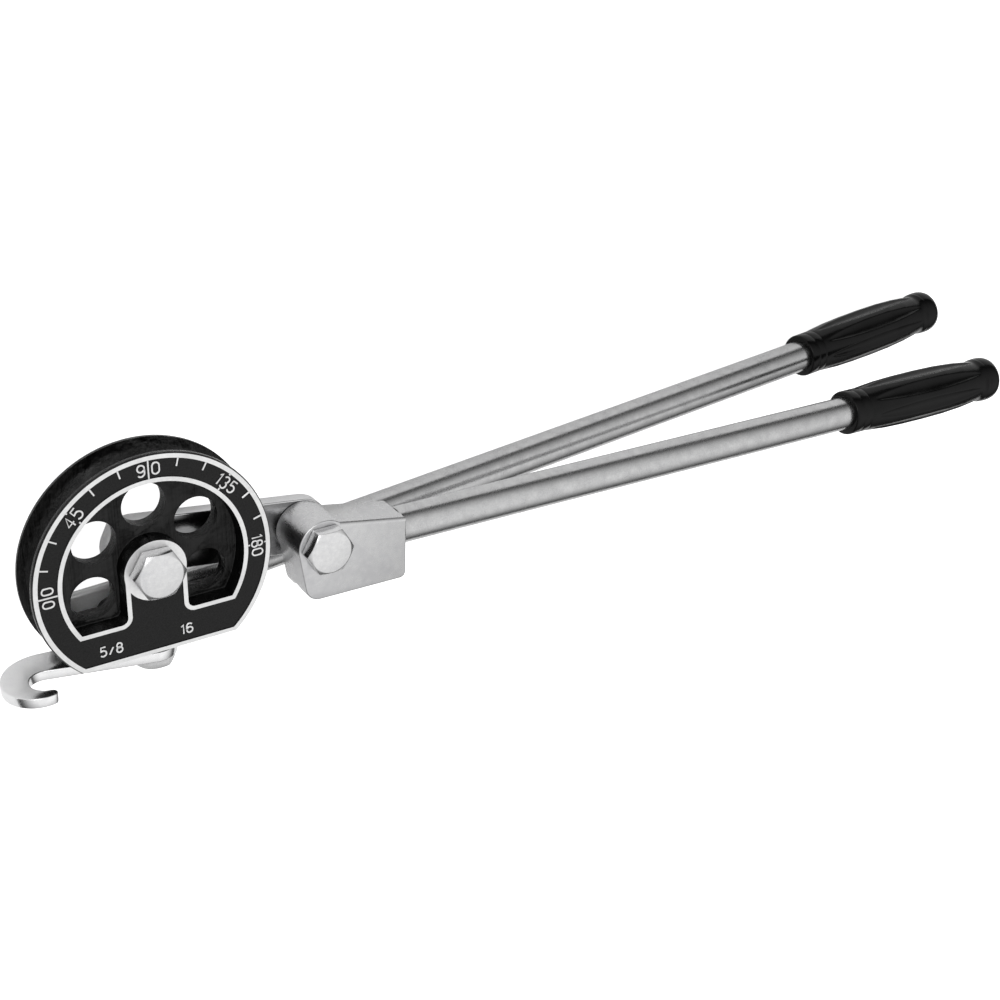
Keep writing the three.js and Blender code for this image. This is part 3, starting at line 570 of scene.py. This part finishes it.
def dialStrokes():
    strokes = []
    for mark in range(0, 181, dial["step"]):
        turn = math.radians(90 - mark)
        end = dial["inner"] if mark in dial["split"] else dial["tickEnd"]
        if mark in dial["numbers"]:
            lines = [[(0, dial["outer"]), (0, dial["outer"] - dial["stubLength"])],
                     [(0, dial["inner"]), (0, dial["inner"] + dial["stubLength"])]]
        else:
            lines = [[(0, dial["outer"]), (0, end)]]
        strokes += [turnedStroke(line, turn, 0) for line in lines]
    for mark, (text, height) in dial["split"].items():
        turn = math.radians(90 - mark)
        split = height * dial["halfDigit"] + dial["splitGap"]
        for letter, side in zip(text, (-1, 1)):
            for path in writtenStrokes(letter, height, 0):
                strokes.append(turnedStroke([(x + side * split, y) for x, y in path], turn, dial["middle"]))
    for mark, (height, gap, shift) in dial["numbers"].items():
        for path in writtenStrokes(str(mark), height, gap):
            path = [(x + shift, y) for x, y in path]
            strokes.append(turnedStroke(path, math.radians(90 - mark), dial["middle"]))
    for text, middle in dial["sizes"].items():
        for path in writtenStrokes(text, dial["sizeHeight"], dial["spacing"]):
            strokes.append([(x + middle, y + dial["sizeBase"] + dial["sizeHeight"] / 2) for x, y in path])
    return strokes


def raisedMarks():
    curve = bpy.data.curves.new("marks", "CURVE")
    curve.dimensions = "3D"
    curve.bevel_depth = dial["stroke"]
    curve.bevel_resolution = 2
    curve.use_fill_caps = True
    for path in dialStrokes():
        loop = path[0] == path[-1]
        points = path[:-1] if loop else path
        spline = curve.splines.new("POLY")
        spline.points.add(len(points) - 1)
        spline.use_cyclic_u = loop
        for point, (x, y) in zip(spline.points, points):
            point.co = (x, y, dial["sink"], 1)
    written = bpy.data.objects.new("marks", curve)
    bpy.context.scene.collection.objects.link(written)
    bpy.context.view_layer.update()
    solid = written.evaluated_get(bpy.context.evaluated_depsgraph_get())
    bm = bmesh.new()
    bm.from_mesh(bpy.data.meshes.new_from_object(solid))
    bpy.data.objects.remove(written)
    for v in bm.verts:
        v.co.z = min(v.co.z, 0)  # the tops are ground level with the rings
    return bm


asPiece("dialMarks", raisedMarks(), wheelFrame, finishes["bare"], "wheel", [], smooth=25)
print("dial marks made")

# The two big bolts, and the washers on the wheel's axis
bolts = {"radius": 7, "acrossFlats": 22, "head": 7, "thread": 5, "shoulder": -32.9, "tip": -50.74}
bolts.update(chamfer=1.2, seat=0.3, faceShare=0.945, slopeShare=0.53, edge=0.18)
bolts.update(centreTurn=-1.5, threadTop=-30)


def hexShape(acrossFlats, height, turn):
    corner = acrossFlats / math.sqrt(3)
    bm = bmesh.new()
    bmesh.ops.create_circle(bm, cap_ends=True, segments=6, radius=corner)
    grown = bmesh.ops.extrude_face_region(bm, geom=bm.faces[:])
    bmesh.ops.translate(bm, verts=newVerts(grown), vec=(0, 0, height))
    spun(bm, "Z", turn - 30)
    bmesh.ops.recalc_face_normals(bm, faces=bm.faces)
    face = acrossFlats / 2 * bolts["faceShare"]
    slope = (corner - face) * bolts["slopeShare"]
    cone = turnedShape([(0, 0), (corner, 0), (corner, height - slope), (face, height), (0, height)], 72)
    return softenEdges(combined(bm, [cone], "INTERSECT"), bolts["edge"], degrees=15)


def hexBolt(radius, acrossFlats, head, tip, turn):
    chamfer, middle = bolts["chamfer"], head / 2
    profile = [(0, middle), (radius, middle), (radius, tip + chamfer), (radius - chamfer, tip), (0, tip)]
    return combined(hexShape(acrossFlats, head, turn), [turnedShape(profile, 48)], "UNION")


def bigBolt(turn):
    return hexBolt(bolts["radius"], bolts["acrossFlats"], bolts["head"], bolts["shoulder"], turn)


def centreBolt():
    thread, top, tip, chamfer = bolts["thread"], bolts["threadTop"], bolts["tip"], bolts["chamfer"]
    end = [(0, top), (thread, top), (thread, tip + chamfer), (thread - chamfer, tip), (0, tip)]
    return combined(bigBolt(bolts["centreTurn"]), [turnedShape(end, 48)], "UNION")


seated = moved(0, 0, bolts["seat"])
asPiece("centreBolt", centreBolt(), wheelFrame @ seated, finishes["zinc"], "wheel", ["centre_bolt"])
asPiece("pivotBolt", bigBolt(0), pivotFrame @ seated, finishes["zinc"], "link", ["pivot_bolt"])

washers = {
    "thrustWasher": {"node": "thrust_washer", "outer": 15, "inner": 7.2, "top": -22.3, "thickness": 2.6},
    "backWasher": {"node": "back_washer", "outer": 10.5, "inner": 5.2, "top": -32.9, "thickness": 2},
}
washerEdge = 0.25
for name, size in washers.items():
    ring = sleeveShape(size["outer"], size["inner"], size["top"], size["top"] - size["thickness"])
    asPiece(name, softenEdges(ring, washerEdge), wheelFrame, finishes["zinc"], "wheel", [size["node"]])
print("bolts and washers made")

# Link bar
link = {"length": 87, "radius": 14.5, "front": -25.2, "thickness": 7.4, "edge": 0.7, "bush": 9.8, "bolt": 7.2}
link.update(boreEnd=-60, flatFacing=0.98, flatDepth=0.2)


def linkBar():
    far = (link["length"], 0)
    outline = arcPoints((0, 0), link["radius"], 90, 270) + arcPoints(far, link["radius"], -90, 90)
    bm = softenEdges(plateShape(outline, link["front"], link["thickness"]), link["edge"], 60, 3)
    end = link["boreEnd"]
    return combined(bm, [rodShape(link["bush"], 0, end), shifted(rodShape(link["bolt"], 0, end), *far)])


# Painted shade: the flat front lies in shade behind the wheel, so it gets a darker copy of the link's metal,
# while the edges keep the lighter one
def dressLink(piece, place):
    toLink = place.inverted()
    piece.data.materials.append(finishes["shadedLinkFace"])
    for polygon in piece.data.polygons:
        facing = (toLink.to_3x3() @ polygon.normal).normalized().z
        height = (toLink @ polygon.center).z
        if facing > link["flatFacing"] and height > link["front"] - link["flatDepth"]:
            polygon.material_index = 1


bar = asPiece("linkBar", linkBar(), linkFrame, finishes["link"], "link", ["link_bar"])
dressLink(bar, linkFrame)
print("link bar made")

# Shoe block
shoe = {"barrel": 14, "end": 45.2, "endTop": 5.15, "slope": 9.45, "drop": -28.2, "footX": -9.2, "foot": 8}
shoe.update(heel=3, shoulder=1.8, edge=0.7, topRounding=2.3, thickness=22, barrelBack=-24.9, groove=8.15)
shoe.update(grooveDrop=-31, mid=-11, tubeDrop=-4.3, pinSetback=16, pin=2.7, socket=7.6, bush=9.8)
shoe.update(barrelFront=-11, barrelEdge=0.4, socketStart=16.9)
# How far the cutting shapes run past the block
shoe.update(over=2, rounderLength=45, grooveStart=-30, cutEnd=60)
shoe.update(pinTop=-4, pinEnd=-30, bushTop=5, bushEnd=-40)


def shoeTopStart():
    facing = math.radians(90 - shoe["slope"])
    height = shoe["end"] * math.cos(facing) + shoe["endTop"] * math.sin(facing)
    return math.degrees(facing - math.acos(height / shoe["barrel"]))


def onBarrel(turn):
    return shoe["barrel"] * math.cos(math.radians(turn)), shoe["barrel"] * math.sin(math.radians(turn))


def shoeOutline():
    shoulder, heel = (shoe["end"], shoe["endTop"]), (shoe["end"], shoe["drop"])
    foot = (shoe["footX"], shoe["drop"])
    top = shoeTopStart()
    far = math.hypot(*foot)
    left = math.degrees(math.atan2(foot[1], foot[0]) - math.acos(shoe["barrel"] / far)) % 360
    return [
        *arcPoints((0, 0), shoe["barrel"], left, top),
        *roundedCorner(onBarrel(top), shoulder, heel, shoe["shoulder"]),
        *roundedCorner(shoulder, heel, foot, shoe["heel"]),
        *roundedCorner(heel, foot, onBarrel(left), shoe["foot"], 5),
    ]


def shoeTopRounder():
    radius, over, length = shoe["topRounding"], shoe["over"], shoe["rounderLength"]
    corner = arcPoints((-radius, -radius), radius, 90, 0, 9)
    bm = plateShape([(over, over), (-radius, over), *corner, (over, -radius)], length, length)
    turn = Matrix(((0, 0, 1), (1, 0, 0), (0, 1, 0))).to_4x4()
    lean = turnAbout("Z", -shoe["slope"])
    place = Matrix.Translation((*onBarrel(shoeTopStart()), 0)) @ lean @ turn
    bmesh.ops.transform(bm, matrix=place, verts=bm.verts)
    return bm


pinPlace = (shoe["end"] - shoe["pinSetback"], shoe["tubeDrop"])


def shoeBlock():
    body = softenEdges(plateShape(shoeOutline(), 0, shoe["thickness"]), shoe["edge"], 60, 3)
    barrel = rodShape(shoe["barrel"], shoe["barrelFront"], shoe["barrelBack"], 90)
    body = combined(body, [softenEdges(barrel, shoe["barrelEdge"], degrees=60)], "UNION")
    mid, end = shoe["mid"], shoe["cutEnd"]
    groove = alongX(rodShape(shoe["groove"], end, shoe["grooveStart"], 72))
    shifted(groove, 0, shoe["grooveDrop"], mid)
    socket = alongX(rodShape(shoe["socket"], end, shoe["socketStart"], 48))
    shifted(socket, 0, shoe["tubeDrop"], mid)
    bushBore = rodShape(shoe["bush"], shoe["bushTop"], shoe["bushEnd"])
    pinHole = shifted(rodShape(shoe["pin"], shoe["pinTop"], shoe["pinEnd"], 32), *pinPlace)
    return combined(body, [shoeTopRounder(), groove, bushBore, socket, pinHole])


asPiece("shoeBlock", shoeBlock(), shoeFrame, finishes["block"], "shoe_handle", ["shoe_block"])
print("shoe block made")

# Handle tubes
handle = {"radius": 9.525, "wall": 2, "spigot": 7.4, "bore": 5.2, "spigotStart": 17.2, "shoulder": 45.5}
handle.update(bend=2, lean=5.44, flatHalf=2.4, flatRound=-30.5, flatEnd=-6, roundStart=24)
handle.update(end=462, frontGrip=347.3, gripStart=462.3, rearEnd=577, chamfer=0.5, neck=2, taper=2.1)
# How far the cutting shapes run past the tubes
handle.update(over=2, pinTop=5, pinEnd=-30, screwHalf=6)


def shoeTube():
    outer, spigot, bore = handle["radius"], handle["spigot"], handle["bore"]
    start, shoulder, end = handle["spigotStart"], handle["shoulder"], handle["end"]
    inner, chamfer = outer - handle["wall"], handle["chamfer"]
    neck, taper = shoulder + handle["neck"], handle["taper"]
    profile = [(bore, start), (spigot, start), (spigot, shoulder), (outer - chamfer, shoulder),
               (outer, shoulder + chamfer), (outer, end), (inner, end), (inner, neck + taper), (bore, neck)]
    tube = shifted(alongX(turnedShape(profile, 96, closed=True)), 0, shoe["tubeDrop"], shoe["mid"])
    return combined(tube, [shifted(rodShape(shoe["pin"], handle["pinTop"], handle["pinEnd"], 32), *pinPlace)])


def onRearHandle(reach):
    past = max(reach - handle["bend"], 0)
    lean = math.radians(handle["lean"])
    share = min(max((reach - handle["flatEnd"]) / (handle["roundStart"] - handle["flatEnd"]), 0), 1)
    return reach - past + past * math.cos(lean), -past * math.sin(lean), lean * share


def handleRing(bm, place, halfWidth, half, count=96):
    x, z, tilt = place
    straight = max(halfWidth - half, 0)
    ring = []
    for i in range(count):
        turn = 2 * math.pi * (i + 0.5) / count
        across = math.sin(turn) * half + math.copysign(straight, math.sin(turn))
        up = math.cos(turn) * half
        ring.append(bm.verts.new((x + up * math.sin(tilt), across, z + up * math.cos(tilt))))
    return [bm.edges.new(pair) for pair in zip(ring, ring[1:] + ring[:1])]


def bridgedRings(bm, loops):
    for first, second in zip(loops, loops[1:]):
        bmesh.ops.bridge_loops(bm, edges=first + second)
    bmesh.ops.contextual_create(bm, geom=loops[0])
    bmesh.ops.contextual_create(bm, geom=loops[-1])
    bmesh.ops.recalc_face_normals(bm, faces=bm.faces)
    return bm


def squashedLoops(bm, radius, thinnest, steps=16):
    loops = []
    for i in range(steps + 1):
        share = i / steps
        half = thinnest + (radius - thinnest) * share * share * (3 - 2 * share)
        reach = handle["flatEnd"] + (handle["roundStart"] - handle["flatEnd"]) * share
        loops.append(handleRing(bm, onRearHandle(reach), half + math.pi * (radius - half) / 2, half))
    return loops


def rearTube():
    thin, radius = handle["flatHalf"], handle["radius"]
    wide = thin + math.pi * (radius - thin) / 2
    outer = bmesh.new()
    loops = []
    centre, steps = handle["flatRound"], 14
    for i in range(steps, 0, -1):
        turn = math.acos(thin / wide) * i / steps
        place = (centre - wide * math.sin(turn), 0, 0)
        loops.append(handleRing(outer, place, wide * math.cos(turn), thin))
    loops.append(handleRing(outer, (centre, 0, 0), wide, thin))
    loops += squashedLoops(outer, radius, thin)
    loops.append(handleRing(outer, onRearHandle(handle["rearEnd"]), radius, radius))
    inner = bmesh.new()
    wall = handle["wall"]
    hollow = squashedLoops(inner, radius - wall, thin - wall)
    beyond = onRearHandle(handle["rearEnd"] + handle["over"])
    hollow.append(handleRing(inner, beyond, radius - wall, radius - wall))
    bore, half = wheel["screwBore"], handle["screwHalf"]
    holes = [shifted(rodShape(bore, half, -half, 32), reach, 0) for reach in wheel["bossReaches"]]
    return combined(bridgedRings(outer, loops), [bridgedRings(inner, hollow), *holes])


# The press leaves the flattened end duller than the drawn tube. Painted light: the end also gets a lighter,
# partly diffuse copy of the tube metal, so it shows bright behind the wheel
def dressPressedEnd(piece, place):
    toTube = place.inverted()
    piece.data.materials.append(finishes["pressed"])
    for polygon in piece.data.polygons:
        if (toTube @ polygon.center).x < handle["flatEnd"]:
            polygon.material_index = 1


asPiece("shoeHandleTube", shoeTube(), shoeFrame, finishes["tube"], "shoe_handle", ["shoe_handle_tube"])
backTube = asPiece("wheelHandleTube", rearTube(), handleFrame, finishes["tube"], "wheel",
                   ["wheel_handle_tube"])
dressPressedEnd(backTube, handleFrame)
print("handle tubes made")

# Rubber grips
grip = {"length": 120, "radius": 14.9, "bore": 9.6, "endWall": 5, "flutes": 8, "fluteDepth": 1.5}
grip.update(fluteWidth=0.72, fluteStart=0.14, fluteEnd=0.86, fluteTaper=0.45, fluteRound=0.8)
grip.update(ringStart=0.12, ringSpan=0.75, ringSteps=44)  # the rings that the flutes are pressed into
grip["profile"] = (
    (0, 0.80), (0.004, 0.85), (0.012, 0.868),
    (0.05, 0.868), (0.0535, 0.86), (0.057, 0.86), (0.0605, 0.868),
    (0.099, 0.868), (0.1025, 0.86), (0.106, 0.86), (0.1095, 0.868),
    (0.16, 0.905), (0.24, 0.957), (0.36, 0.99), (0.5, 1), (0.64, 0.985), (0.76, 0.93), (0.84, 0.86),
    (0.868, 0.828), (0.88, 0.82), (0.89, 0.826), (0.902, 0.87), (0.908, 0.885), (0.914, 0.876),
    (0.92, 0.888), (0.935, 0.9), (0.955, 0.896), (0.972, 0.872), (0.985, 0.83), (0.995, 0.76), (1, 0.62),
)


def smoothed(points, share):
    for (x0, y0), (x1, y1) in zip(points, points[1:]):
        if x0 <= share <= x1:
            t = (share - x0) / (x1 - x0)
            return y0 + (y1 - y0) * t
    return points[-1][1]


def gripShape():
    length, radius = grip["length"], grip["radius"]
    start, span, steps = grip["ringStart"], grip["ringSpan"], grip["ringSteps"]
    rings = {start + span * i / steps for i in range(steps + 1)}
    shares = sorted({share for share, _ in grip["profile"]} | rings)
    outer = [(radius * smoothed(grip["profile"], share), length * share) for share in shares]
    bottom = length - grip["endWall"]
    profile = [(0, bottom), (grip["bore"], bottom), (grip["bore"], 0), *outer, (0, length)]
    bm = turnedShape(profile, 192)
    for v in bm.verts:
        share = v.co.z / length
        across = math.hypot(v.co.x, v.co.y)
        if across < grip["bore"] + 1 or not grip["fluteStart"] < share < grip["fluteEnd"]:
            continue
        turn = math.atan2(v.co.y, v.co.x) * grip["flutes"] / (2 * math.pi) % 1
        off = min(turn, 1 - turn) * 2 / grip["fluteWidth"]
        reach = (share - grip["fluteStart"]) / (grip["fluteEnd"] - grip["fluteStart"])
        along = math.sin(math.pi * reach) ** grip["fluteTaper"]
        if off < along:
            sink = grip["fluteDepth"] * along * math.cos(math.pi / 2 * off / along) ** grip["fluteRound"]
            v.co.xy *= (across - sink) / across
    return alongX(bm)


rearX, rearZ, rearTilt = onRearHandle(handle["gripStart"])
rearGripFrame = handleFrame @ moved(rearX, 0, rearZ) @ Matrix.Rotation(rearTilt, 4, "Y")
frontGripFrame = shoeFrame @ moved(handle["frontGrip"], shoe["tubeDrop"], shoe["mid"])
asPiece("shoeHandleGrip", gripShape(), frontGripFrame, finishes["rubber"], "shoe_handle",
        ["shoe_handle_grip"], smooth=60)
asPiece("wheelHandleGrip", gripShape(), rearGripFrame, finishes["rubber"], "wheel", ["wheel_handle_grip"],
        smooth=60)
print("grips made")

# Hook and its bolt, drawn flat: eye at the origin, throat at -x
hook = {"reach": 54.4, "eye": 11.3, "throat": 8.2, "back": 21.4, "shift": (1.8, -2.65), "tip": 2.6}
hook.update(tipAngle=106, thickness=5, edge=0.5, bore=5.2, boreTop=10, boreEnd=-5, boltSeat=5.3)
hook.update(bolt=5, boltHex=18, boltHead=4.8, boltTurn=9, boltTip=-22.6)


def hookOutline():
    throat = Vector((-hook["reach"], 0))
    back = throat + Vector(hook["shift"])
    front = 90 + math.degrees(math.asin((hook["throat"] + hook["eye"]) / hook["reach"]))
    spread = math.degrees(math.asin((hook["back"] - hook["eye"]) / back.length))
    behind = math.degrees(math.atan2(-back.y, -back.x)) + spread - 90
    tip = Vector(arcPoints(throat, hook["throat"] + hook["tip"], hook["tipAngle"], 0)[0])
    outermost = Vector((back.x - hook["back"], back.y))
    away = tip - outermost
    noseRadius = (away.length_squared - hook["tip"] ** 2) / (2 * (away.x - hook["tip"]))
    nose = outermost + Vector((noseRadius, 0))
    lean = math.degrees(math.atan2(tip.y - nose.y, tip.x - nose.x))
    return [
        *arcPoints(throat, hook["throat"], hook["tipAngle"], front + 180),
        *arcPoints((0, 0), hook["eye"], front, behind),
        *arcPoints(back, hook["back"], behind, -180, 3),
        *arcPoints(nose, noseRadius, -180, lean - 360, 3)[1:],
        *arcPoints(tip, hook["tip"], lean, hook["tipAngle"] - 180, 12)[1:-1],
    ]


def hookShape():
    bm = softenEdges(plateShape(hookOutline(), hook["thickness"], hook["thickness"]), hook["edge"], 60, 3)
    return combined(bm, [rodShape(hook["bore"], hook["boreTop"], hook["boreEnd"], 48)])


asPiece("hook", hookShape(), hookFrame @ turnAbout("X", 90), finishes["hook"], "hook", ["hook"])
hookBolt = hexBolt(hook["bolt"], hook["boltHex"], hook["boltHead"], hook["boltTip"], hook["boltTurn"])
asPiece("hookBolt", hookBolt, underFrame @ moved(0, 0, hook["boltSeat"]), finishes["tube"], "wheel",
        ["hook_bolt"])
print("hook made")

# The frame's own nodes that stay as they are get their finish here
keptNodes = {
    "centre_nut": "zinc", "tube_pin": "zinc", "link_bush": "bronze", "pivot_bush": "bronze",
    "handle_washer_outer": "zinc", "handle_screw_outer": "zinc",
    "handle_washer_inner": "zinc", "handle_screw_inner": "zinc",
}
for node, finish in keptNodes.items():
    mesh = frame["nodes"][node].data
    mesh.materials.clear()
    mesh.materials.append(finishes[finish])
print("kept nodes finished")

# Floor, world and lamps
studio = {"floorSeen": 0.9, "floorMirrored": 0.18, "floor": (0.86, 0.86, 0.86)}
studio.update(floorHalf=6, horizon=0.07, zenith=1.0, darkUpTo=0.22, brightFrom=0.85, aim=(150, 0, 0))


def addFloor():
    bm = bmesh.new()
    bmesh.ops.create_grid(bm, x_segments=1, y_segments=1, size=studio["floorHalf"])
    mesh = bpy.data.meshes.new("floor")
    bm.to_mesh(mesh)
    bm.free()
    floor = bpy.data.objects.new("floor", mesh)
    bpy.context.scene.collection.objects.link(floor)
    finish = bpy.data.materials.new("floor")
    finish.use_nodes = True
    nodes, links = finish.node_tree.nodes, finish.node_tree.links
    nodes.clear()
    out = nodes.new("ShaderNodeOutputMaterial")
    plain = nodes.new("ShaderNodeBsdfDiffuse")
    plain.inputs["Color"].default_value = (*studio["floor"], 1)
    glow = nodes.new("ShaderNodeEmission")
    rays = nodes.new("ShaderNodeLightPath")
    seen = nodes.new("ShaderNodeMath")
    seen.operation = "MAXIMUM"
    links.new(rays.outputs["Is Camera Ray"], seen.inputs[0])
    links.new(rays.outputs["Is Transmission Ray"], seen.inputs[1])
    mirrored = nodes.new("ShaderNodeMath")
    mirrored.operation = "MULTIPLY"
    mirrored.inputs[1].default_value = studio["floorMirrored"]
    links.new(rays.outputs["Is Glossy Ray"], mirrored.inputs[0])
    strength = nodes.new("ShaderNodeMath")
    strength.operation = "MULTIPLY_ADD"
    strength.inputs[1].default_value = studio["floorSeen"]
    links.new(seen.outputs[0], strength.inputs[0])
    links.new(mirrored.outputs[0], strength.inputs[2])
    links.new(strength.outputs[0], glow.inputs["Strength"])
    both = nodes.new("ShaderNodeAddShader")
    links.new(plain.outputs[0], both.inputs[0])
    links.new(glow.outputs[0], both.inputs[1])
    links.new(both.outputs[0], out.inputs["Surface"])
    mesh.materials.append(finish)


def addWorld():
    world = bpy.data.worlds.new("studio")
    world.use_nodes = True
    bpy.context.scene.world = world
    nodes, links = world.node_tree.nodes, world.node_tree.links
    ground = nodes["Background"]
    ground.inputs["Color"].default_value = (1, 1, 1, 1)
    rays = nodes.new("ShaderNodeLightPath")
    seen = nodes.new("ShaderNodeMath")
    seen.operation = "MAXIMUM"
    links.new(rays.outputs["Is Camera Ray"], seen.inputs[0])
    links.new(rays.outputs["Is Transmission Ray"], seen.inputs[1])
    coords = nodes.new("ShaderNodeTexCoord")
    split = nodes.new("ShaderNodeSeparateXYZ")
    links.new(coords.outputs["Generated"], split.inputs[0])
    sky = ramp(nodes, links, split.outputs["Z"], studio["horizon"], studio["zenith"], studio["darkUpTo"],
               studio["brightFrom"])
    level = nodes.new("ShaderNodeMapRange")
    level.inputs["To Max"].default_value = 1
    links.new(sky, level.inputs["To Min"])
    links.new(seen.outputs[0], level.inputs["Value"])
    links.new(level.outputs["Result"], ground.inputs["Strength"])


lamps = {
    "key": {"place": (-400, 900, 700), "size": 0.9, "power": 3},
    "front": {"place": (750, -450, 900), "size": 1.1, "power": 0.28},
    "fill": {"place": (-330, 480, 860), "size": 0.35, "power": 0.9},
}


def addLamps():
    for name, lamp in lamps.items():
        data = bpy.data.lights.new(name, "AREA")
        data.shape = "SQUARE"
        data.size = lamp["size"]
        data.energy = lamp["power"]
        made = bpy.data.objects.new(name, data)
        made.location = wheelFrame @ Vector(lamp["place"])
        aim = wheelFrame @ Vector(studio["aim"]) - made.location
        made.rotation_euler = aim.to_track_quat("-Z", "Y").to_euler()
        bpy.context.scene.collection.objects.link(made)


addFloor()
addWorld()
addLamps()
bpy.context.scene.view_settings.view_transform = "Standard"
print("studio ready")
